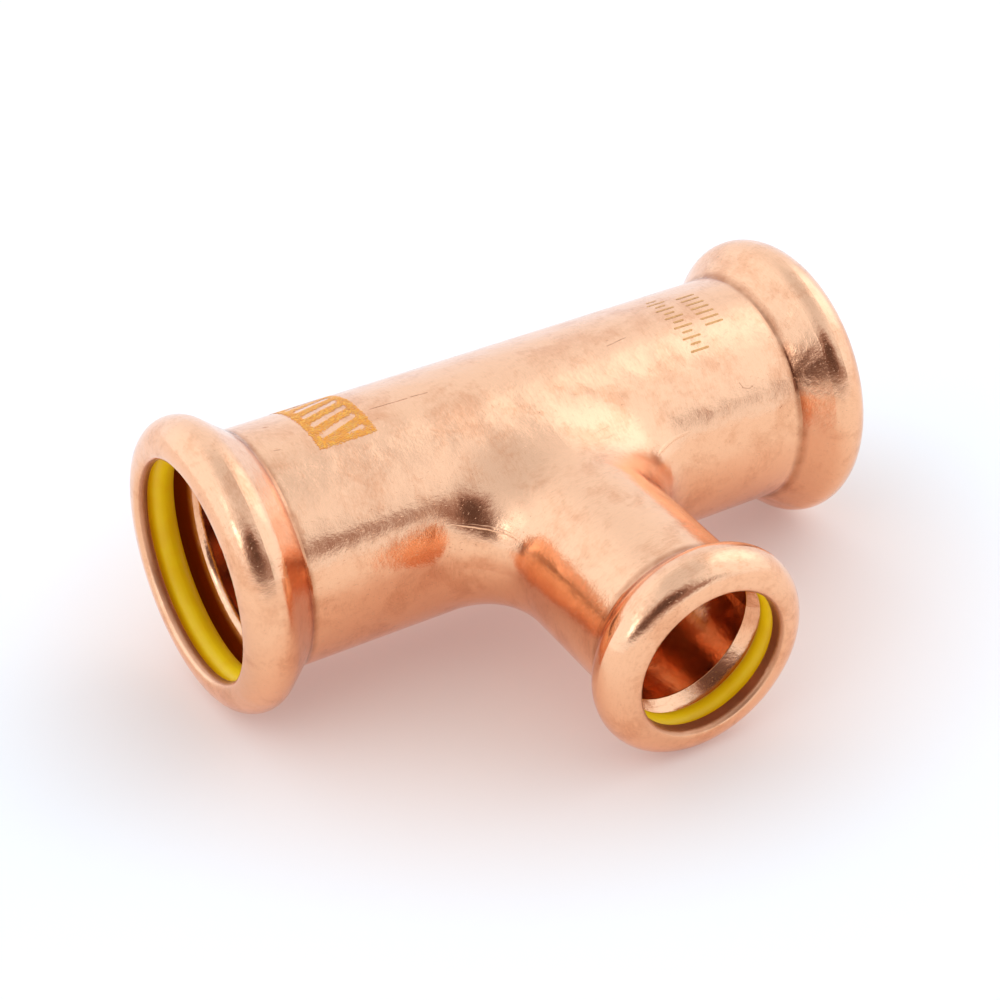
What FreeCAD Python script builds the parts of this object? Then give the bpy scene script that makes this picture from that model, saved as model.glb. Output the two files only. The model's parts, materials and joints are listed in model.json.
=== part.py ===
import FreeCAD, Part
import math
import os

import Sketcher

# A press-fit reducing tee in copper, 22 x 15 x 22 mm. The body is one hydroformed piece of tube: a
# straight run with a smaller branch drawn out of its side, and a bead rolled up at each of its three
# ends. Each bead holds a rubber seal ring, and behind it a bored socket takes the pipe up to a stop.
#
# Frame: the run lies along X, the branch points along -Y and Z is up. The origin is where the two
# centre lines cross.

V = FreeCAD.Vector
TURN = 360.0
ALONG_X = FreeCAD.Rotation(V(1, 1, 1), 120)
ALONG_MINUS_Y = FreeCAD.Rotation(V(1, 0, 0), 90)
RUN_TO_BRANCH = FreeCAD.Rotation(V(0, 0, 1), -90)
BLEND_CURVE = "Part::GeomBSplineCurve"
ON_CENTRE_PLANE = 0.1

# Every length in mm. Distances called "back" are measured back from the end face of the socket.
SIZES = [
    ("run_reach", 36.1, "crossing of the centre lines to each end of the run"),
    ("run_radius", 12.2, "outside of the run between its beads"),
    ("run_bore", 11.15, "inside of the run's sockets, which take the pipe"),
    ("run_stop", 15.0, "crossing to the shoulder that stops the pipe"),
    ("run_mouth", 11.3, "radius of the mouth inside the rolled lip"),
    ("run_lip_round", 0.8, "rounding of the lip towards the pipe"),
    ("run_seal_inside", 11.2, "inner radius of the run's seal rings"),
    ("run_bead_back", 7.6, "back to where the bead rises from the barrel"),
    ("run_bead_foot", 0.6, "hollow between the barrel and the bead"),
    ("run_bead_top", 15.15, "outside radius of the bead's crown"),
    ("run_bead_top_back", 2.88, "back to the bead's crown"),
    ("run_bead_round", 2.6, "rounding behind the crown"),
    ("run_bead_front", 2.88, "rounding in front of the crown"),
    ("run_groove_back", 7.1, "back to where the seal groove opens out of the bore"),
    ("run_groove_foot", 1.2, "rounding between the bore and the groove"),
    ("run_groove_top", 14.1, "radius of the groove's floor"),
    ("run_groove_top_back", 3.05, "back to the groove's floor, where the seal sits"),
    ("run_groove_round", 2.5, "rounding behind the floor"),
    ("run_groove_front", 1.8, "rounding in front of the floor"),
    ("branch_reach", 36.8, "crossing of the centre lines to the end of the branch"),
    ("branch_radius", 8.85, "outside of the branch behind its bead"),
    ("branch_bore", 7.65, "inside of the branch's socket, which takes the pipe"),
    ("branch_stop", 16.8, "crossing to the shoulder that stops the pipe"),
    ("branch_mouth", 7.8, "radius of the mouth inside the rolled lip"),
    ("branch_lip_round", 0.6, "rounding of the lip towards the pipe"),
    ("branch_seal_inside", 7.65, "inner radius of the branch's seal ring"),
    ("branch_bead_back", 6.6, "back to where the bead rises from the branch"),
    ("branch_bead_foot", 0.7, "hollow between the branch and the bead"),
    ("branch_bead_top", 11.22, "outside radius of the bead's crown"),
    ("branch_bead_top_back", 2.75, "back to the bead's crown"),
    ("branch_bead_round", 2.9, "rounding behind the crown"),
    ("branch_bead_front", 2.75, "rounding in front of the crown"),
    ("branch_groove_back", 5.6, "back to where the seal groove opens out of the bore"),
    ("branch_groove_foot", 0.15, "rounding between the bore and the groove"),
    ("branch_groove_top", 9.85, "radius of the groove's floor"),
    ("branch_groove_top_back", 2.92, "back to the groove's floor, where the seal sits"),
    ("branch_groove_round", 1.16, "rounding behind the floor"),
    ("branch_groove_front", 1.25, "rounding in front of the floor"),
    ("lip_heel", 0.25, "rounding of the lips towards their seals"),
    ("middle_wall", 1.6, "wall of the tube between the stops"),
    ("crotch_blend", 6.5, "radius of the blend in the plane of both centre lines"),
    ("flank_blend", 19.0, "radius of the blend on the flanks of the branch"),
    ("cut_over", 1.0, "how far a cut runs past the face that it opens"),
]

doc = FreeCAD.newDocument("PressTee")
sheet = doc.addObject("Spreadsheet::Sheet", "Sizes")
for row, (alias, value, meaning) in enumerate(SIZES, start=1):
    sheet.set(f"A{row}", str(value))
    sheet.setAlias(f"A{row}", alias)
    sheet.set(f"B{row}", meaning)
doc.recompute()


def size(alias):
    return float(sheet.get(alias))


def origin_plane(body, role):
    return next(f for f in body.Origin.OriginFeatures if f.Role == role)


# The crossing of two round bars and the blend between them, used twice: for the outside of the tee and
# for the waterway through it. A quarter is drawn and blended, then mirrored in both centre planes.


def barrel(name, radius, length, angle, rotation):
    bar = doc.addObject("Part::Cylinder", name)
    bar.Angle = angle
    bar.setExpression("Radius", radius)
    bar.setExpression("Height", length)
    bar.Placement = FreeCAD.Placement(V(0, 0, 0), rotation)
    return bar


def joined(name, first, second):
    union = doc.addObject("Part::Fuse", name)
    union.Base = first
    union.Tool = second
    union.Refine = True
    return union


def mirrored(name, source, normal):
    mirror = doc.addObject("Part::Mirroring", name)
    mirror.Source = source
    mirror.Normal = normal
    return mirror


def crossing(name, run_radius, run_length, branch_radius, branch_length, crotch, flank):
    run = barrel(f"{name}_run", run_radius, run_length, 180, ALONG_X)
    branch = barrel(f"{name}_branch", branch_radius, branch_length, 90, ALONG_MINUS_Y)
    quarter = joined(f"{name}_quarter", run, branch)
    doc.recompute()
    edges = enumerate(quarter.Shape.Edges, start=1)
    number, seam = next((i, e) for i, e in edges if e.Curve.TypeId == BLEND_CURVE)
    starts_in_crotch = abs(seam.valueAt(seam.FirstParameter).z) < ON_CENTRE_PLANE
    radii = (crotch, flank) if starts_in_crotch else (flank, crotch)
    blended = doc.addObject("Part::Fillet", f"{name}_blended")
    blended.Base = quarter
    blended.Edges = [(number, *radii)]
    half = joined(f"{name}_half", blended, mirrored(f"{name}_mirror_x", blended, V(1, 0, 0)))
    return joined(name, half, mirrored(f"{name}_mirror_z", half, V(0, 0, 1)))


outside = crossing(
    "outside",
    "Sizes.run_radius",
    "Sizes.run_reach - Sizes.run_bead_back",
    "Sizes.branch_radius",
    "Sizes.branch_reach - Sizes.branch_bead_back",
    size("crotch_blend"),
    size("flank_blend"),
)
waterway = crossing(
    "waterway",
    "Sizes.run_radius - Sizes.middle_wall",
    "Sizes.run_stop + Sizes.cut_over",
    "Sizes.branch_radius - Sizes.middle_wall",
    "Sizes.branch_stop + Sizes.cut_over",
    size("crotch_blend") + size("middle_wall"),
    size("flank_blend") + size("middle_wall"),
)
core = doc.addObject("Part::Cut", "core")
core.Base = outside
core.Tool = waterway
doc.recompute()


# The beads and sockets are turned shapes. Their outlines are drawn with the sketch's first axis along
# the socket, from the crossing outwards, and its second axis as the radius.


class Outline:
    """A closed outline of lines and arcs, held by tangents and by named sizes."""

    def __init__(self, body, name, turned):
        self.sketch = body.newObject("Sketcher::SketchObject", name)
        self.sketch.AttachmentSupport = [(origin_plane(body, "XY_Plane"), "")]
        self.sketch.MapMode = "FlatFace"
        self.sketch.AttachmentOffset = FreeCAD.Placement(V(0, 0, 0), turned)

    def line(self, x1, y1, x2, y2):
        return self.sketch.addGeometry(Part.LineSegment(V(x1, y1, 0), V(x2, y2, 0)))

    def arc(self, x, y, radius, start, end):
        circle = Part.Circle(V(x, y, 0), V(0, 0, 1), radius)
        return self.sketch.addGeometry(
            Part.ArcOfCircle(circle, math.radians(start), math.radians(end))
        )

    def hold(self, kind, *where):
        self.sketch.addConstraint(Sketcher.Constraint(kind, *where))

    def measure(self, kind, *where, value, formula):
        index = self.sketch.addConstraint(Sketcher.Constraint(kind, *where, value))
        self.sketch.setExpression(f"Constraints[{index}]", formula)


def slope(x1, y1, round1, x2, y2, round2):
    """Angle in degrees of the straight tangent from a hollow rounding up to a crown rounding."""
    along = math.atan2(y2 - y1, x2 - x1)
    across = math.asin((round1 + round2) / math.hypot(x2 - x1, y2 - y1))
    return math.degrees(along + across)


def on_circle(x, y, radius, angle):
    turned = math.radians(angle)
    return x + radius * math.cos(turned), y + radius * math.sin(turned)


class Swell:
    """The sizes of one swelling of the tube: a bead on its outside, or a seal groove on its inside."""

    def __init__(self, end, kind, level):
        self.level = size(level)
        self.start = size(f"{end}_reach") - size(f"{end}_{kind}_back")
        self.foot_round = size(f"{end}_{kind}_foot")
        self.top = size(f"{end}_{kind}_top")
        self.top_at = size(f"{end}_reach") - size(f"{end}_{kind}_top_back")
        self.round = size(f"{end}_{kind}_round")
        self.front = size(f"{end}_{kind}_front")
        self.front_at = self.top_at + self.front
        hollow = (self.start, self.level + self.foot_round)
        crown = (self.top_at, self.top - self.round)
        self.angle = slope(*hollow, self.foot_round, *crown, self.round)
        self.rise = on_circle(*hollow, self.foot_round, self.angle - 90)
        self.crest = on_circle(*crown, self.round, self.angle + 90)


def swell_curve(outline, swell, end, kind):
    """The curve from the tube's own level over the top to the front: hollow, slope and two roundings."""
    hollow = outline.arc(
        swell.start, swell.level + swell.foot_round, swell.foot_round, -90, swell.angle - 90
    )
    back = outline.line(*swell.rise, *swell.crest)
    crown = outline.arc(swell.top_at, swell.top - swell.round, swell.round, 90, swell.angle + 90)
    front = outline.arc(swell.top_at, swell.top - swell.front, swell.front, 0, 90)
    outline.hold("Vertical", hollow, 3, hollow, 1)
    outline.hold("Tangent", hollow, 2, back, 1)
    outline.hold("Tangent", back, 2, crown, 2)
    outline.hold("Vertical", crown, 3, crown, 1)
    outline.hold("Tangent", crown, 1, front, 2)
    outline.hold("Horizontal", front, 3, front, 1)
    reach = f"Sizes.{end}_reach"
    sizes = f"Sizes.{end}_{kind}"
    outline.measure(
        "DistanceX", -1, 1, hollow, 1, value=swell.start, formula=f"{reach} - {sizes}_back"
    )
    outline.measure("Radius", hollow, value=swell.foot_round, formula=f"{sizes}_foot")
    outline.measure(
        "DistanceX", -1, 1, crown, 1, value=swell.top_at, formula=f"{reach} - {sizes}_top_back"
    )
    outline.measure("DistanceY", -1, 1, crown, 1, value=swell.top, formula=f"{sizes}_top")
    outline.measure("Radius", crown, value=swell.round, formula=f"{sizes}_round")
    outline.measure("Radius", front, value=swell.front, formula=f"{sizes}_front")
    return hollow, front


def bead_outline(body, end, turned):
    """The outside of one end of the tee, from the foot of the bead to the end face."""
    bead = Swell(end, "bead", f"{end}_radius")
    outline = Outline(body, f"{end}_bead_outline", turned)
    foot = outline.line(bead.start, 0, bead.start, bead.level)
    hollow, front = swell_curve(outline, bead, end, "bead")
    face = outline.line(bead.front_at, bead.top - bead.front, bead.front_at, 0)
    centre = outline.line(bead.front_at, 0, bead.start, 0)
    outline.hold("Vertical", foot)
    outline.hold("PointOnObject", foot, 1, -1)
    outline.hold("Coincident", foot, 2, hollow, 1)
    outline.hold("Coincident", front, 1, face, 1)
    outline.hold("Vertical", face)
    outline.hold("Coincident", face, 2, centre, 1)
    outline.hold("PointOnObject", centre, 1, -1)
    outline.hold("Coincident", centre, 2, foot, 1)
    outline.measure(
        "DistanceY", -1, 1, foot, 2, value=bead.level, formula=f"Sizes.{end}_radius"
    )
    return outline.sketch


def socket_outline(body, end, turned):
    """The inside of one end: stop shoulder, bore, seal groove and rolled lip."""
    reach = size(f"{end}_reach")
    stop = size(f"{end}_stop")
    mouth = size(f"{end}_mouth")
    lip = size(f"{end}_lip_round")
    heel = size("lip_heel")
    over = reach + size("cut_over")
    groove = Swell(end, "groove", f"{end}_bore")
    outline = Outline(body, f"{end}_socket_outline", turned)
    shoulder = outline.line(stop, 0, stop, groove.level)
    bore = outline.line(stop, groove.level, groove.start, groove.level)
    hollow, front = swell_curve(outline, groove, end, "groove")
    wall = outline.line(groove.front_at, groove.top - groove.front, groove.front_at, mouth + heel)
    inner = outline.arc(groove.front_at + heel, mouth + heel, heel, 180, 270)
    land = outline.line(groove.front_at + heel, mouth, reach - lip, mouth)
    outer = outline.arc(reach - lip, mouth + lip, lip, 270, TURN)
    clear = outline.line(reach, mouth + lip, over, mouth + lip)
    end_line = outline.line(over, mouth + lip, over, 0)
    centre = outline.line(over, 0, stop, 0)
    outline.hold("Vertical", shoulder)
    outline.hold("PointOnObject", shoulder, 1, -1)
    outline.hold("Coincident", shoulder, 2, bore, 1)
    outline.hold("Horizontal", bore)
    outline.hold("Coincident", bore, 2, hollow, 1)
    outline.hold("Coincident", front, 1, wall, 1)
    outline.hold("Vertical", wall)
    outline.hold("Tangent", wall, 2, inner, 1)
    outline.hold("Tangent", inner, 2, land, 1)
    outline.hold("Horizontal", land)
    outline.hold("Tangent", land, 2, outer, 1)
    outline.hold("Horizontal", outer, 3, outer, 2)
    outline.hold("Coincident", outer, 2, clear, 1)
    outline.hold("Horizontal", clear)
    outline.hold("Coincident", clear, 2, end_line, 1)
    outline.hold("Vertical", end_line)
    outline.hold("Coincident", end_line, 2, centre, 1)
    outline.hold("PointOnObject", centre, 1, -1)
    outline.hold("Coincident", centre, 2, shoulder, 1)
    sizes = f"Sizes.{end}"
    outline.measure("DistanceX", -1, 1, shoulder, 1, value=stop, formula=f"{sizes}_stop")
    outline.measure("DistanceY", -1, 1, shoulder, 2, value=groove.level, formula=f"{sizes}_bore")
    outline.measure("DistanceY", -1, 1, land, 1, value=mouth, formula=f"{sizes}_mouth")
    outline.measure("Radius", inner, value=heel, formula="Sizes.lip_heel")
    outline.measure("Radius", outer, value=lip, formula=f"{sizes}_lip_round")
    outline.measure("DistanceX", -1, 1, outer, 2, value=reach, formula=f"{sizes}_reach")
    outline.measure(
        "DistanceX", -1, 1, end_line, 1, value=over, formula=f"{sizes}_reach + Sizes.cut_over"
    )
    return outline.sketch


def turned_feature(body, kind, name, sketch):
    feature = body.newObject(kind, name)
    feature.Profile = sketch
    feature.ReferenceAxis = (sketch, ["H_Axis"])
    feature.Angle = TURN
    doc.recompute()
    return feature


tee = doc.addObject("PartDesign::Body", "tee_body")
tee.Label = "tee_body"
tee.BaseFeature = core
doc.recompute()
straight = FreeCAD.Rotation()
run_bead = turned_feature(
    tee, "PartDesign::Revolution", "run_bead", bead_outline(tee, "run", straight)
)
run_socket = turned_feature(
    tee, "PartDesign::Groove", "run_socket", socket_outline(tee, "run", straight)
)
other_end = tee.newObject("PartDesign::Mirrored", "other_end")
other_end.Originals = [run_bead, run_socket]
other_end.MirrorPlane = (origin_plane(tee, "YZ_Plane"), [""])
tee.Tip = other_end
doc.recompute()
branch_bead = turned_feature(
    tee, "PartDesign::Revolution", "branch_bead", bead_outline(tee, "branch", RUN_TO_BRANCH)
)
branch_socket = turned_feature(
    tee, "PartDesign::Groove", "branch_socket", socket_outline(tee, "branch", RUN_TO_BRANCH)
)
tee.Tip = branch_socket
doc.recompute()


# Each seal is a ring of round section that sits on its groove's floor and stands a little proud of the
# lip, around the pipe.


def seal(label, end, rotation, place):
    ring = doc.addObject("Part::Torus", label)
    ring.Label = label
    floor = f"Sizes.{end}_groove_top"
    ring.setExpression("Radius1", f"({floor} + Sizes.{end}_seal_inside) / 2")
    ring.setExpression("Radius2", f"({floor} - Sizes.{end}_seal_inside) / 2")
    ring.Placement = FreeCAD.Placement(V(0, 0, 0), rotation)
    axis, sign = place
    distance = f"{sign}(Sizes.{end}_reach - Sizes.{end}_groove_top_back)"
    ring.setExpression(f"Placement.Base.{axis}", distance)
    return ring


parts = [
    tee,
    seal("run_seal_left", "run", ALONG_X, ("x", "-")),
    seal("run_seal_right", "run", ALONG_X, ("x", "")),
    seal("branch_seal", "branch", ALONG_MINUS_Y, ("y", "-")),
]
doc.recompute()

for item in doc.Objects:
    if "Invalid" in item.State or "Error" in item.State:
        raise RuntimeError(f"{item.Label} failed: {item.State}")
os.makedirs("parts", exist_ok=True)
for part in parts:
    if part.Shape.isNull() or not part.Shape.isValid() or len(part.Shape.Solids) != 1:
        raise RuntimeError(f"{part.Label} has no single valid solid")
    part.Shape.exportStep(os.path.join("parts", f"{part.Label}.step"))
    box = part.Shape.BoundBox
    print(
        f"{part.Label}: {box.XLength:.2f} x {box.YLength:.2f} x {box.ZLength:.2f} mm,"
        f" {part.Shape.Volume:.0f} mm3"
    )
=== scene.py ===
"""The looks of a press-fit reducing tee: a one-piece copper body with a yellow seal in each bead.

Everything is in metres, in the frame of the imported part: the run lies along X, the branch points to -Y and
the origin is where their axes cross.
"""
import json
import math

import bmesh
import bpy
import numpy as np
from mathutils import Matrix, Vector


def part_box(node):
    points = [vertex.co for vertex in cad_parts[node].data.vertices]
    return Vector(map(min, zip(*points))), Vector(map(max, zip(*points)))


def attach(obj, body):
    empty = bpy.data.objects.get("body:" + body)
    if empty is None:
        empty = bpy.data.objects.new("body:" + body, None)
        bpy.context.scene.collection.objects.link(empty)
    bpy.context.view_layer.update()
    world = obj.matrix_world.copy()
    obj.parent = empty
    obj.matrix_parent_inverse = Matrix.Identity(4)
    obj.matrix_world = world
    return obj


MM = 0.001

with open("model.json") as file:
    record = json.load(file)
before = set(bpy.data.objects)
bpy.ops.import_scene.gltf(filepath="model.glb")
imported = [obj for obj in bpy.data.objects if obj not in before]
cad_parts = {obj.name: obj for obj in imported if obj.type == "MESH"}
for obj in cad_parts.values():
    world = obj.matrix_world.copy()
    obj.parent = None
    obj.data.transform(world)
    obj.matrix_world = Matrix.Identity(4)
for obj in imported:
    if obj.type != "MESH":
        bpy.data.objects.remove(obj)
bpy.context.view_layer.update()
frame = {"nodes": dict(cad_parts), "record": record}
mounts = {mount["name"]: mount for mount in frame["record"]["mounts"]}

TUBE_WALL = 1.05 * MM
RUN_RADIUS = mounts["run_socket_left"]["dims"]["r_mm"] * MM + TUBE_WALL
BRANCH_WALL = 1.2 * MM
BRANCH_RADIUS = mounts["branch_socket"]["dims"]["r_mm"] * MM + BRANCH_WALL


# ---------------------------------------------------------------------------------------------- directions

def towards(azimuth, elevation):
    """The unit vector at an azimuth from -Y, turning towards +X, and an elevation, both in degrees."""
    turn = math.radians(azimuth)
    rise = math.radians(elevation)
    return Vector((math.sin(turn) * math.cos(rise), -math.cos(turn) * math.cos(rise), math.sin(rise)))


def level_side(azimuth):
    """The level unit vector to the right of someone at that azimuth who looks at the origin."""
    turn = math.radians(azimuth)
    return Vector((math.cos(turn), math.sin(turn), 0.0))


# ------------------------------------------------------------------------------------------------- shaders

class Nodes:
    """A node tree, with short calls for the nodes that it is made of."""

    def __init__(self, owner):
        owner.use_nodes = True
        self.tree = owner.node_tree

    def node(self, kind, **settings):
        made = self.tree.nodes.new(kind)
        for name, value in settings.items():
            setattr(made, name, value)
        return made

    def feed(self, socket, value):
        """Gives a socket a constant or another node's output."""
        if isinstance(value, bpy.types.NodeSocket):
            self.tree.links.new(value, socket)
        else:
            socket.default_value = value

    def math(self, operation, *values):
        made = self.node("ShaderNodeMath", operation=operation)
        for socket, value in zip(made.inputs, values):
            self.feed(socket, value)
        return made.outputs["Value"]

    def vector(self, operation, *values):
        """A vector, and for LENGTH the number that it gives."""
        made = self.node("ShaderNodeVectorMath", operation=operation)
        for socket, value in zip(made.inputs, values):
            self.feed(socket, value)
        return made.outputs["Value" if operation == "LENGTH" else "Vector"]

    def ramp(self, value, low, high, to_low=0.0, to_high=1.0):
        """Value remapped smoothly from low..high to to_low..to_high."""
        made = self.node("ShaderNodeMapRange", interpolation_type="SMOOTHSTEP")
        for name, setting in (("Value", value), ("From Min", low), ("From Max", high),
                              ("To Min", to_low), ("To Max", to_high)):
            self.feed(made.inputs[name], setting)
        return made.outputs["Result"]

    def blend(self, share, first, second):
        """A number between two others."""
        made = self.node("ShaderNodeMix", data_type="FLOAT")
        self.feed(made.inputs[0], share)
        self.feed(made.inputs[2], first)
        self.feed(made.inputs[3], second)
        return made.outputs[0]

    def mix(self, share, first, second):
        """A colour between two others."""
        made = self.node("ShaderNodeMix", data_type="RGBA")
        self.feed(made.inputs[0], share)
        self.feed(made.inputs[6], first)
        self.feed(made.inputs[7], second)
        return made.outputs[2]


class Shader(Nodes):
    """One node-based material."""

    def __init__(self, name):
        self.material = bpy.data.materials.new(name)
        super().__init__(self.material)
        self.surface = self.tree.nodes["Principled BSDF"]
        self.place = self.node("ShaderNodeTexCoord").outputs["Object"]

    def set(self, name, value):
        self.feed(self.surface.inputs[name], value)

    def axis(self, name):
        """One of the coordinates of a point of the piece, in metres."""
        made = self.node("ShaderNodeSeparateXYZ")
        self.feed(made.inputs["Vector"], self.place)
        return made.outputs[name]

    def stretched(self, scale, turn=(0.0, 0.0, 0.0)):
        """Coordinates in millimetres, turned and then scaled along each axis."""
        mapping = self.node("ShaderNodeMapping", vector_type="TEXTURE")
        self.feed(mapping.inputs["Vector"], self.place)
        self.feed(mapping.inputs["Rotation"], [math.radians(angle) for angle in turn])
        self.feed(mapping.inputs["Scale"], [MM / cells for cells in scale])
        return mapping.outputs["Vector"]

    def noise(self, scale, detail=2.0, roughness=0.5, distortion=0.0, turn=(0.0, 0.0, 0.0)):
        """Noise from 0 to 1, with a number of cells per millimetre along X, Y and Z."""
        return self.noise_at(self.stretched(scale, turn), detail, roughness, distortion)

    def noise_at(self, place, detail=2.0, roughness=0.5, distortion=0.0):
        """Noise from 0 to 1, with cells of 1."""
        noise = self.node("ShaderNodeTexNoise")
        self.feed(noise.inputs["Vector"], place)
        for name, setting in (("Scale", 1.0), ("Detail", detail), ("Roughness", roughness),
                              ("Distortion", distortion)):
            self.feed(noise.inputs[name], setting)
        return noise.outputs["Fac"]

    def bump(self, height, distance, normal=None):
        """A bumped normal, where a height of 1 stands distance metres proud."""
        made = self.node("ShaderNodeBump")
        self.feed(made.inputs["Height"], height)
        self.feed(made.inputs["Distance"], distance)
        if normal is not None:
            self.feed(made.inputs["Normal"], normal)
        return made.outputs["Normal"]


COPPER = (0.93, 0.49, 0.275, 1.0)
COPPER_WORN = (0.80, 0.37, 0.19, 1.0)
# Dark brown for the pits, the browned cut edges and the painted shade in the hollows behind the beads.
TARNISH_AND_SHADE = (0.40, 0.13, 0.05, 1.0)
GROOVE_SHADE_RED = (0.30, 0.055, 0.02, 1.0)

# Cells of brushing per millimetre along X, Y and Z, and where along Y the one turns into the other.
BRUSHED_ROUND_RUN = (9.0, 1.3, 1.3)
BRUSHED_ROUND_BRANCH = (1.3, 9.0, 1.3)
BRANCH_BRUSHED_BEYOND = -16.0 * MM
RUN_BRUSHED_BEFORE = -11.0 * MM

# How far out from the crossing the hollow behind each bead lies, and where each lip's cut edge starts.
RUN_NECK = 28.75 * MM
BRANCH_NECK = 30.2 * MM
RUN_LIP = 34.8 * MM
BRANCH_LIP = 35.1 * MM

# The painted shade line in each hollow is darkest up to the first distance from the hollow's middle and gone
# at the second.
LINE_DARK = 0.08 * MM
LINE_GONE = 0.80 * MM

# How deep inside the tube's outer radius a cut edge starts, and where it is fully dull. The last value is
# how far it browns for each unit of roughness.
CUT_EDGE = 0.65 * MM
RUN_CUT_EDGE_FULL = 0.80 * MM
BRANCH_CUT_EDGE_FULL = 0.90 * MM
CUT_EDGE_ROUGHNESS = 0.30
CUT_EDGE_BROWN = 1.7

# Where the painted shade in the run's grooves comes in along the run, and how far from the lip it ends. The
# wall values are a point's radius less its distance along the run, which tell the wall from the bead's
# outside.
GROOVE_START = 29.9 * MM
GROOVE_FULL = 30.4 * MM
GROOVE_TO_LIP = 1.5 * MM
GROOVE_WALL_FULL = -17.7 * MM
GROOVE_WALL_END = -17.4 * MM
GROOVE_CEILING = 14.5 * MM

# The relief, from the broadest to the finest. Scores are cut in. Dimples are on the run's beads only, and
# come in over the first part of a bead.
DENT_DEPTH = 0.10 * MM
DIMPLE_DEPTH = 0.06 * MM
DIMPLES_COME_IN = 1.0 * MM
RIPPLE_DEPTH = 0.020 * MM
SCORE_DEPTH = -0.012 * MM
HAIR_DEPTH = 0.006 * MM


def brushing(shader):
    """Fine hairs that go round the run, and round the branch on the branch."""
    on_branch = shader.ramp(shader.axis("Y"), BRANCH_BRUSHED_BEYOND, RUN_BRUSHED_BEFORE, 1.0, 0.0)
    cells = shader.mix(on_branch, (*BRUSHED_ROUND_RUN, 1.0), (*BRUSHED_ROUND_BRANCH, 1.0))
    spread = shader.vector("MULTIPLY", shader.stretched((1.0, 1.0, 1.0)), cells)
    return shader.noise_at(spread, detail=3.0, roughness=0.7)


def off_run(shader):
    """How far a point is from the run's centre line."""
    return shader.vector("LENGTH", shader.vector("MULTIPLY", shader.place, (0.0, 1.0, 1.0)))


def off_branch(shader):
    """How far a point is from the branch's centre line."""
    return shader.vector("LENGTH", shader.vector("MULTIPLY", shader.place, (1.0, 0.0, 1.0)))


def painted_neck_shade(shader):
    """Painted shade: an uneven brown line on the outside, darkening the hollow behind each bead."""
    beside_run = shader.math("SUBTRACT", shader.math("ABSOLUTE", shader.axis("X")), RUN_NECK)
    beside_branch = shader.math("ADD", shader.axis("Y"), BRANCH_NECK)
    near_run = shader.ramp(shader.math("ABSOLUTE", beside_run), LINE_DARK, LINE_GONE, 1.0, 0.0)
    near_branch = shader.ramp(shader.math("ABSOLUTE", beside_branch), LINE_DARK, LINE_GONE, 1.0, 0.0)
    out_of_run = shader.math("GREATER_THAN", off_run(shader), RUN_RADIUS - TUBE_WALL / 2)
    out_of_branch = shader.math("GREATER_THAN", off_branch(shader), BRANCH_RADIUS - TUBE_WALL / 2)
    line = shader.math("MAXIMUM", shader.math("MULTIPLY", near_run, out_of_run),
                       shader.math("MULTIPLY", near_branch, out_of_branch))
    patchy = shader.ramp(shader.noise((0.5, 0.5, 0.5), detail=3.0), 0.3, 0.7, 0.35, 0.75)
    return shader.math("MULTIPLY", line, patchy)


def lip_satin(shader):
    """How rough the copper is on the cut edges that the lips turn towards the pipe, and 0 elsewhere."""
    at_run_end = shader.math("GREATER_THAN", shader.math("ABSOLUTE", shader.axis("X")), RUN_LIP)
    at_branch_end = shader.math("LESS_THAN", shader.axis("Y"), -BRANCH_LIP)
    in_run = shader.ramp(off_run(shader), RUN_RADIUS - RUN_CUT_EDGE_FULL, RUN_RADIUS - CUT_EDGE,
                         CUT_EDGE_ROUGHNESS, 0.0)
    in_branch = shader.ramp(off_branch(shader), BRANCH_RADIUS - BRANCH_CUT_EDGE_FULL,
                            BRANCH_RADIUS - CUT_EDGE, CUT_EDGE_ROUGHNESS, 0.0)
    return shader.math("MAXIMUM", shader.math("MULTIPLY", at_run_end, in_run),
                       shader.math("MULTIPLY", at_branch_end, in_branch))


def painted_groove_shade(shader):
    """Painted shade: dark red on the wall of the run's grooves, behind the seals, where the seals shade it.
    """
    along = shader.math("ABSOLUTE", shader.axis("X"))
    off_axis = off_run(shader)
    out_less_along = shader.math("SUBTRACT", off_axis, along)
    under_wall = shader.ramp(out_less_along, GROOVE_WALL_FULL, GROOVE_WALL_END, 1.0, 0.0)
    under_bead = shader.math("LESS_THAN", off_axis, GROOVE_CEILING)
    behind_lip = shader.math("LESS_THAN", along, RUN_LIP - GROOVE_TO_LIP)
    groove = shader.math("MULTIPLY", shader.ramp(along, GROOVE_START, GROOVE_FULL), behind_lip)
    return shader.math("MULTIPLY", groove, shader.math("MULTIPLY", under_wall, under_bead))


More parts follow.
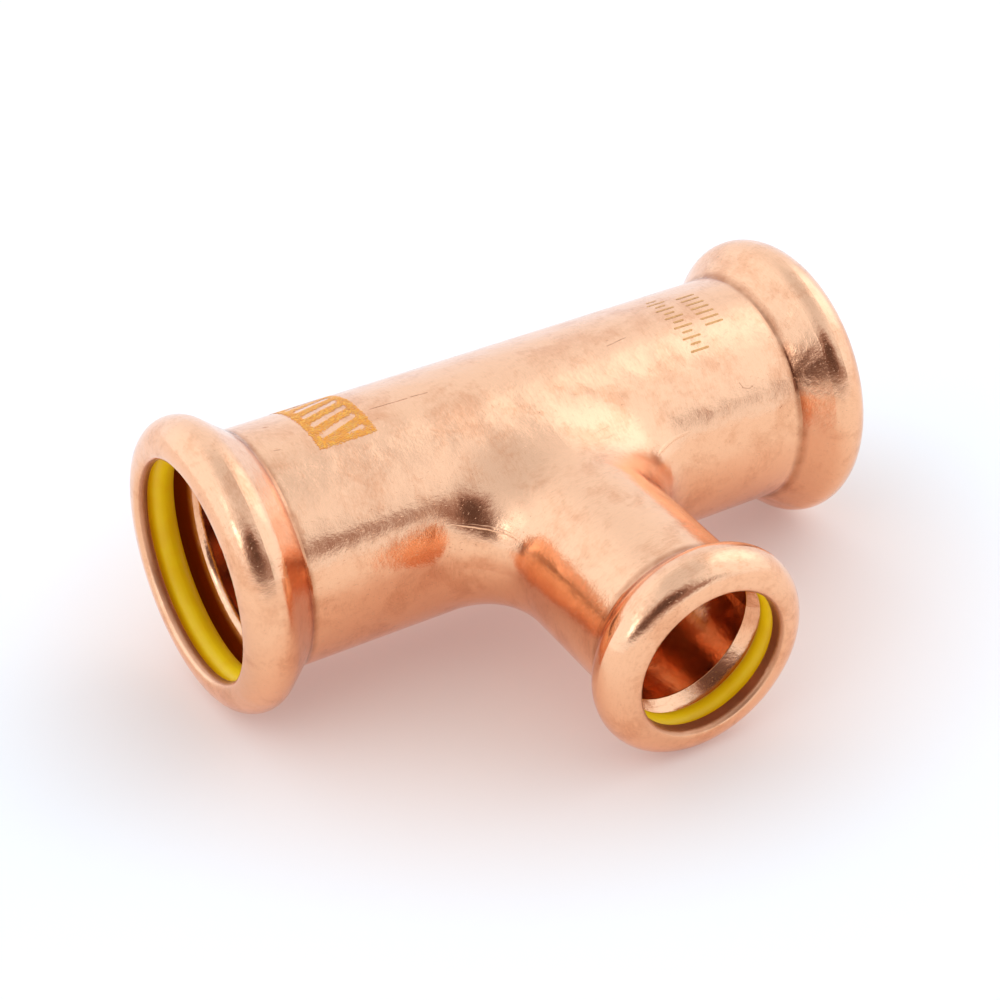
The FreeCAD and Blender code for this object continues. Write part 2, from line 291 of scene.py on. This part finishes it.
def copper():
    """Bright copper, brushed round the run and round the branch, tumbled and handled."""
    shader = Shader("copper")
    hairs = brushing(shader)
    mottle = shader.noise((0.22, 0.22, 0.22), detail=4.0, roughness=0.65, distortion=0.4)
    pitting = shader.noise((2.1, 2.1, 2.1), detail=3.0, roughness=0.6)
    scratches = shader.noise((0.22, 6.0, 6.0), detail=1.0, turn=(0.0, 8.0, 14.0))
    pits = shader.math("MULTIPLY", shader.ramp(pitting, 0.69, 0.76), shader.ramp(mottle, 0.48, 0.58))
    scored = shader.ramp(scratches, 0.70, 0.76)

    cloudy = shader.ramp(mottle, 0.42, 0.70, -0.1, 0.8)
    streaky = shader.ramp(hairs, 0.32, 0.7, -0.22, 0.30)
    grainy = shader.ramp(pitting, 0.35, 0.72, -0.10, 0.22)
    worn = shader.math("ADD", shader.math("ADD", cloudy, streaky), grainy)
    tone = shader.mix(worn, COPPER, COPPER_WORN)
    satin = lip_satin(shader)
    # The brown line in the hollows behind the beads is painted shade; the cut edges brown with their
    # roughness, and the pits with the mottle.
    dull = shader.math("MAXIMUM", painted_neck_shade(shader), shader.math("MULTIPLY", satin, CUT_EDGE_BROWN))
    dark = shader.math("MAXIMUM", dull, shader.math("MULTIPLY", pits, 0.6))
    clean = shader.mix(dark, tone, TARNISH_AND_SHADE)
    # Painted shade: dark red on the groove walls behind the seals.
    shader.set("Base Color", shader.mix(painted_groove_shade(shader), clean, GROOVE_SHADE_RED))
    shader.set("Metallic", 1.0)
    shader.set("Coat Weight", 0.15)
    shader.set("Coat Roughness", 0.2)
    smear = shader.ramp(mottle, 0.35, 0.75, 0.12, 0.19)
    brushed = shader.math("ADD", smear, shader.ramp(hairs, 0.4, 0.8, 0.0, 0.08))
    shader.set("Roughness", shader.math("ADD", brushed, satin))

    dented = shader.bump(shader.noise((0.32, 0.32, 0.32), detail=1.0), DENT_DEPTH)
    rolled = shader.ramp(shader.math("ABSOLUTE", shader.axis("X")), RUN_NECK, RUN_NECK + DIMPLES_COME_IN)
    dimples = shader.math("MULTIPLY", shader.noise((0.45, 0.45, 0.45), detail=1.0), rolled)
    dimpled = shader.bump(dimples, DIMPLE_DEPTH, dented)
    rippled = shader.bump(pitting, RIPPLE_DEPTH, dimpled)
    scratched = shader.bump(shader.math("ADD", scored, pits), SCORE_DEPTH, rippled)
    shader.set("Normal", shader.bump(hairs, HAIR_DEPTH, scratched))
    return shader.material


SEAL_YELLOW = (0.95, 0.62, 0.004, 1.0)
SEAL_YELLOW_DEEP = (0.88, 0.54, 0.003, 1.0)
SEAL_GLOW = (1.0, 0.62, 0.0, 1.0)


def rubber():
    """Seal rubber with a bright yellow pigment, slightly waxy, with a faint painted glow."""
    shader = Shader("seal_rubber")
    cloud = shader.ramp(shader.noise((0.35, 0.35, 0.35), detail=3.0), 0.35, 0.7)
    shader.set("Base Color", shader.mix(cloud, SEAL_YELLOW, SEAL_YELLOW_DEEP))
    shader.set("Roughness", 0.42)
    shader.set("Specular IOR Level", 0.3)
    # Painted light: a faint yellow glow, so the seals stay bright inside their shaded grooves.
    shader.set("Emission Color", SEAL_GLOW)
    shader.set("Emission Strength", 0.12)
    shader.set("Normal", shader.bump(shader.noise((4.0, 4.0, 4.0), detail=3.0), 0.008 * MM))
    return shader.material


def dress(node, material):
    """Gives a carried-over CAD node its material."""
    for slot in frame["nodes"][node].material_slots:
        slot.material = material


dress("tee_body", copper())
seal_rubber = rubber()
for name in ("run_seal_left", "run_seal_right", "branch_seal"):
    dress(name, seal_rubber)


# ------------------------------------------------------------------------------------------------ markings

def on_run(x, arc, lift):
    """A point over the run's outside: x along it, arc round it from the front, lift above it."""
    angle = arc / RUN_RADIUS
    radius = RUN_RADIUS + lift
    return Vector((x, -radius * math.cos(angle), radius * math.sin(angle)))


def arc_at(degrees):
    """The arc round the run from the front to an angle in degrees."""
    return math.radians(degrees) * RUN_RADIUS


def piece(name, mesh_maker, material):
    """A new piece that rides on the body and takes the given material."""
    mesh = bpy.data.meshes.new(name)
    shape = bmesh.new()
    mesh_maker(shape)
    bmesh.ops.recalc_face_normals(shape, faces=shape.faces)
    shape.to_mesh(mesh)
    shape.free()
    made = bpy.data.objects.new(name, mesh)
    bpy.context.scene.collection.objects.link(made)
    mesh.materials.append(material)
    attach(made, "root")
    return made


# The printed block: its dot, place and size, then its bare slanted bars and the fine bare hatching.
INK_SEED = 7
INK_DOT = 0.1 * MM
INK_LIFT = 0.02 * MM
INK_START_X = -22.9 * MM
INK_WIDTH = 6.4 * MM
INK_START_ARC = arc_at(75.0)
INK_LENGTH = arc_at(65.0)
INK_BORDER = 0.95 * MM
INK_RAGGED = 0.07 * MM
INK_BARE_EDGE = 0.06 * MM
BAR_PITCH = 1.9 * MM
BAR_GAP = 0.75 * MM
BAR_SLANT = 0.35
HATCH_PITCH = 0.46 * MM
HATCH_GAP = 0.11 * MM
HATCH_SLANT = 1.7
HATCH_RAGGED = 0.6
INK_ORANGE = (1.0, 0.33, 0.010, 1.0)
INK_AMBER = (1.0, 0.43, 0.04, 1.0)


def ink_covers(along, round_way, jitter):
    """Whether a place in the block is inked: fine bare hatching, a solid border and bare slanted bars."""
    ragged = INK_RAGGED * jitter
    from_side = min(along, INK_WIDTH - along) + ragged
    from_end = min(round_way, INK_LENGTH - round_way) + ragged
    if min(from_side, from_end) < INK_BARE_EDGE:
        return False
    if (round_way + HATCH_SLANT * along) % HATCH_PITCH < HATCH_GAP + HATCH_RAGGED * ragged:
        return False
    in_border = min(from_side, from_end) < INK_BORDER
    slanted = (round_way - INK_BORDER - BAR_SLANT * along) % BAR_PITCH
    return in_border or slanted + ragged > BAR_GAP


def ink_block(shape):
    """A printed block of small ink dots, wrapped round the run."""
    draw = np.random.default_rng(INK_SEED)
    columns = round(INK_WIDTH / INK_DOT)
    rows = round(INK_LENGTH / INK_DOT)
    jitters = draw.normal(size=(columns, rows))
    corners = {}

    def corner(column, row):
        if (column, row) not in corners:
            place = on_run(INK_START_X + column * INK_DOT, INK_START_ARC + row * INK_DOT, INK_LIFT)
            corners[column, row] = shape.verts.new(place)
        return corners[column, row]

    for column in range(columns):
        for row in range(rows):
            middle = ((column + 0.5) * INK_DOT, (row + 0.5) * INK_DOT)
            if ink_covers(*middle, jitters[column, row]):
                steps = ((0, 0), (1, 0), (1, 1), (0, 1))
                shape.faces.new([corner(column + a, row + b) for a, b in steps])


def ink():
    """Orange marking ink with an uneven tint, dull and slightly grainy."""
    shader = Shader("marking_ink")
    patchy = shader.ramp(shader.noise((2.2, 2.2, 2.2), detail=3.0), 0.35, 0.7)
    shader.set("Base Color", shader.mix(patchy, INK_ORANGE, INK_AMBER))
    shader.set("Roughness", 0.55)
    shader.set("Normal", shader.bump(shader.noise((5.0, 5.0, 5.0), detail=2.0), 0.01 * MM))
    return shader.material


piece("ink_block", ink_block, ink())


LONG_TICK = 2.0 * MM
SHORT_TICK = 1.0 * MM
STROKE_WIDTH = 0.26 * MM
STROKE_LIFT = 0.008 * MM
STROKE_STEPS = 12
ETCHED_TAN = (0.80, 0.40, 0.14, 1.0)
ETCHED_BROWN = (0.66, 0.29, 0.09, 1.0)


def stroke(shape, start, end, width=STROKE_WIDTH):
    """A flat stroke with round ends over the run, between two (x, arc) places."""
    heading = math.atan2(end[1] - start[1], end[0] - start[0])
    ring = []
    for place, turn in ((end, heading - math.pi / 2), (start, heading + math.pi / 2)):
        for step in range(STROKE_STEPS + 1):
            angle = turn + math.pi * step / STROKE_STEPS
            x = place[0] + width / 2 * math.cos(angle)
            arc = place[1] + width / 2 * math.sin(angle)
            ring.append(shape.verts.new(on_run(x, arc, STROKE_LIFT)))
    shape.faces.new(ring)


def etched_row(x, lengths, first, last):
    """A row of ticks at x round the run, from one angle to another in degrees, with the given lengths."""
    def make(shape):
        for number, length in enumerate(lengths):
            share = number / (len(lengths) - 1)
            arc = arc_at(first) + share * (arc_at(last) - arc_at(first))
            stroke(shape, (x - length / 2, arc), (x + length / 2, arc))
    return make


def etching():
    """Laser marking: copper oxidised brown."""
    shader = Shader("laser_etching")
    burnt = shader.ramp(shader.noise((3.0, 3.0, 3.0), detail=4.0), 0.3, 0.7)
    shader.set("Base Color", shader.mix(burnt, ETCHED_TAN, ETCHED_BROWN))
    shader.set("Metallic", 0.6)
    shader.set("Roughness", 0.5)
    return shader.material


ETCHED = etching()
piece("etched_row_1", etched_row(19.7 * MM, [LONG_TICK, SHORT_TICK] * 6, 63.0, 106.0), ETCHED)
piece("etched_row_2", etched_row(23.1 * MM, [LONG_TICK] * 7, 75.0, 100.0), ETCHED)


# The corners of each crease, in millimetres. They are brought onto the body's surface.
CREASES = {
    "crease_right": ((9.9, -12.6, 5.2), (11.4, -11.7, 5.3), (13.0, -11.1, 5.4), (15.5, -10.9, 5.5)),
    "crease_left": ((-8.4, -16.0, 4.0), (-9.0, -14.5, 4.2), (-10.1, -13.3, 4.3), (-13.6, -11.3, 4.9)),
}
CREASE_WIDTH = 0.55 * MM
CREASE_HEIGHT = 0.055 * MM
CREASE_SINK = 0.01 * MM
CREASE_SIDES = 6
CREASE_STEPS = 12
CREASE_REACH = 3
WELD = 0.001 * MM


def on_body(place):
    """The nearest point of the body's surface, and the surface's normal there."""
    body = frame["nodes"]["tee_body"]
    _, spot, normal, _ = body.closest_point_on_mesh(body.matrix_world.inverted() @ place)
    return body.matrix_world @ spot, (body.matrix_world.to_3x3() @ normal).normalized()


def crease(*corners):
    """A low ridge on the body through some places in millimetres, fading at both ends."""
    def make(shape):
        places = [Vector(corner) * MM for corner in corners]
        path = []
        for first, second in zip(places, places[1:]):
            path += [first.lerp(second, step / CREASE_STEPS) for step in range(CREASE_STEPS)]
        path.append(places[-1])
        last = len(path) - 1
        rows = []
        for number, place in enumerate(path):
            before = path[max(number - CREASE_REACH, 0)]
            after = path[min(number + CREASE_REACH, last)]
            spot, normal = on_body(place)
            across = normal.cross((after - before).normalized()).normalized()
            fade = math.sin(math.pi * number / last) ** 0.5
            row = []
            for side in range(CREASE_SIDES + 1):
                share = 2.0 * side / CREASE_SIDES - 1.0
                aside = across * share * CREASE_WIDTH / 2 * fade
                lift = CREASE_HEIGHT * fade * (1.0 - share * share) - CREASE_SINK
                row.append(shape.verts.new(spot + aside + normal * lift))
            rows.append(row)
        for near, far in zip(rows, rows[1:]):
            for side in range(CREASE_SIDES):
                shape.faces.new((near[side], near[side + 1], far[side + 1], far[side])).smooth = True
        bmesh.ops.remove_doubles(shape, verts=shape.verts, dist=WELD)
    return make


BODY_COPPER = frame["nodes"]["tee_body"].material_slots[0].material
for name, corners in CREASES.items():
    piece(name, crease(*corners), BODY_COPPER)


# The longest scratches and nicks. Each row holds both ends, as x in millimetres and an angle in degrees.
SCRATCHES = (
    ((-15.7, 90.5), (-11.6, 89.7)),
    ((-11.2, 89.9), (-9.4, 89.2)),
    ((10.7, 81.5), (13.2, 83.2)),
    ((22.3, 41.0), (22.5, 38.2)),
    ((22.5, 38.2), (23.2, 36.9)),
    ((23.2, 36.9), (23.7, 37.6)),
    ((-26.9, 83.5), (-26.3, 83.0)),
    ((-25.9, 103.8), (-25.4, 103.0)),
)
SCRATCH_WIDTH = 0.075 * MM
SCUFF_PALE = (0.84, 0.43, 0.24, 1.0)
SCUFF_BROWN = (0.62, 0.28, 0.14, 1.0)


def scuffs(shape):
    """All the scratches, as one thin piece."""
    for start, end in SCRATCHES:
        stroke(shape, (start[0] * MM, arc_at(start[1])), (end[0] * MM, arc_at(end[1])), SCRATCH_WIDTH)


def scuffed():
    """Copper scored down to a brown, rough trace."""
    shader = Shader("scuffed_copper")
    trace = shader.ramp(shader.noise((1.5, 1.5, 1.5), detail=3.0), 0.35, 0.65)
    shader.set("Base Color", shader.mix(trace, SCUFF_PALE, SCUFF_BROWN))
    shader.set("Metallic", 0.8)
    shader.set("Roughness", 0.4)
    return shader.material


piece("scuffs", scuffs, scuffed())


# --------------------------------------------------------------------------------------------------- stage

# How far the beads stand out from their centre lines, and where along Y the branch's bead is widest.
RUN_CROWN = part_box("tee_body")[1].z
BRANCH_CROWN = 11.22 * MM
BRANCH_CROWN_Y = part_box("tee_body")[0].y + 2.75 * MM

# The paper carries a painted warm shadow and copper glow round the fitting, full at one distance from its
# middle and gone at another.
FLOOR_SIZE = 4.0
PAINTED_SHADOW_FULL = 20.0 * MM
PAINTED_SHADOW_GONE = 64.0 * MM
PAPER = (0.82, 0.76, 0.71, 1.0)
PAPER_PAINTED_SHADOW_WARM = (0.78, 0.55, 0.43, 1.0)
PAPER_GLOW = 0.20


def floor():
    """A pale floor with a painted warm shadow and copper glow round the fitting, tilted to touch both run
    beads and the branch bead.
    """
    lean = math.asin((RUN_CROWN - BRANCH_CROWN) / -BRANCH_CROWN_Y)
    normal = Vector((0.0, math.sin(lean), math.cos(lean)))
    mesh = bpy.data.meshes.new("floor")
    sheet = bmesh.new()
    bmesh.ops.create_grid(sheet, x_segments=1, y_segments=1, size=FLOOR_SIZE / 2)
    sheet.to_mesh(mesh)
    sheet.free()
    shader = Shader("floor_paper")
    away = shader.ramp(shader.vector("LENGTH", shader.place), PAINTED_SHADOW_FULL, PAINTED_SHADOW_GONE)
    # Painted shadow: darker, warmer paper near the fitting, for its shade and the copper's glow.
    shader.set("Base Color", shader.mix(away, PAPER_PAINTED_SHADOW_WARM, PAPER))
    shader.set("Roughness", 0.9)
    shader.set("Emission Color", (1.0, 1.0, 1.0, 1.0))
    shader.set("Emission Strength", PAPER_GLOW)
    mesh.materials.append(shader.material)
    made = bpy.data.objects.new("floor", mesh)
    bpy.context.scene.collection.objects.link(made)
    tilt = normal.to_track_quat("Z", "Y").to_matrix().to_4x4()
    made.matrix_world = Matrix.Translation(-normal * RUN_CROWN) @ tilt


floor()

DAYLIGHT = (0.86, 1.0, 1.17, 1.0)
SHADE = (1.0, 0.66, 0.60, 1.0)
SHADE_LEVEL = 0.2
DAYLIGHT_LEVEL = 0.95


class Studio(Nodes):
    """Walls of cool daylight and soft panels, far enough away to be the same from every point."""

    def __init__(self, level):
        world = bpy.data.worlds.new("studio")
        super().__init__(world)
        bpy.context.scene.world = world
        self.direction = self.node("ShaderNodeTexCoord").outputs["Generated"]
        self.level = level

    def panel(self, azimuth, elevation, half_width, half_height, softness, level):
        """Brings the light to a level inside an oval round a direction, on a sphere with a radius of 1."""
        out = towards(azimuth, elevation)
        side = level_side(azimuth)
        frame_of_panel = Matrix((side, out.cross(side), out)).transposed()
        local = self.node("ShaderNodeMapping", vector_type="TEXTURE")
        for name, value in (("Vector", self.direction), ("Location", out),
                            ("Rotation", frame_of_panel.to_euler()),
                            ("Scale", (half_width, half_height, 1.0))):
            self.feed(local.inputs[name], value)
        edge = self.vector("LENGTH", local.outputs["Vector"])
        inside = self.ramp(edge, 1.0 - softness, 1.0 + softness, 1.0, 0.0)
        self.level = self.blend(inside, self.level, level)

    def finish(self, lit, unlit):
        """Colours the light: one colour where it is full, and another where a panel cuts it."""
        background = self.tree.nodes["Background"]
        self.feed(background.inputs["Strength"], self.level)
        share = self.ramp(self.level, SHADE_LEVEL, DAYLIGHT_LEVEL)
        self.feed(background.inputs["Color"], self.mix(share, unlit, lit))


studio = Studio(level=1.2)

# A duller ceiling, and a wide pale wall to the left.
studio.panel(0.0, 90.0, 0.50, 0.50, 0.50, level=0.95)
studio.panel(-125.0, 20.0, 0.80, 0.60, 0.40, level=1.40)

# A large soft light to the right, with its brighter middle.
studio.panel(84.0, 33.0, 0.66, 0.52, 0.15, level=1.38)
studio.panel(98.0, 38.0, 0.34, 0.40, 0.35, level=1.85)

# Two small lamps to the left.
studio.panel(-72.0, 27.0, 0.15, 0.13, 0.25, level=2.90)
studio.panel(-94.0, 38.0, 0.08, 0.10, 0.30, level=2.20)

# The dark shapes in front, which give the beads and the run their dark streaks.
studio.panel(-20.0, 35.0, 0.46, 0.36, 0.55, level=0.12)
studio.panel(14.0, 23.0, 0.28, 0.13, 0.50, level=0.34)
studio.panel(-46.0, 22.0, 0.30, 0.17, 0.45, level=0.14)
studio.finish(DAYLIGHT, SHADE)


# -------------------------------------------------------------------------------------------------- camera

# Angles in degrees, as in towards(). The last two values move the camera sideways without turning it.
CAMERA_AZIMUTH = -32.422
CAMERA_ELEVATION = 36.318
CAMERA_ROLL = 1.364
CAMERA_DISTANCE = 250.354 * MM
CAMERA_RIGHT = -0.539 * MM
CAMERA_UP = -3.618 * MM
NEAREST = 10.0 * MM

# Focal length and sensor width, which Blender takes in millimetres.
LENS = 87.65
SENSOR = 36.0


def camera():
    """A camera that looks at the fitting from the front left and above."""
    back = towards(CAMERA_AZIMUTH, CAMERA_ELEVATION)
    right = level_side(CAMERA_AZIMUTH)
    up = back.cross(right)
    roll = math.radians(CAMERA_ROLL)
    side = math.cos(roll) * right + math.sin(roll) * up
    top = -math.sin(roll) * right + math.cos(roll) * up
    lens = bpy.data.cameras.new("camera")
    lens.lens = LENS
    lens.sensor_width = SENSOR
    lens.clip_start = NEAREST
    made = bpy.data.objects.new("camera", lens)
    bpy.context.scene.collection.objects.link(made)
    place = back * CAMERA_DISTANCE + side * CAMERA_RIGHT + top * CAMERA_UP
    made.matrix_world = Matrix.Translation(place) @ Matrix((side, top, back)).transposed().to_4x4()
    bpy.context.scene.camera = made


camera()
bpy.context.scene.view_settings.view_transform = "Standard"
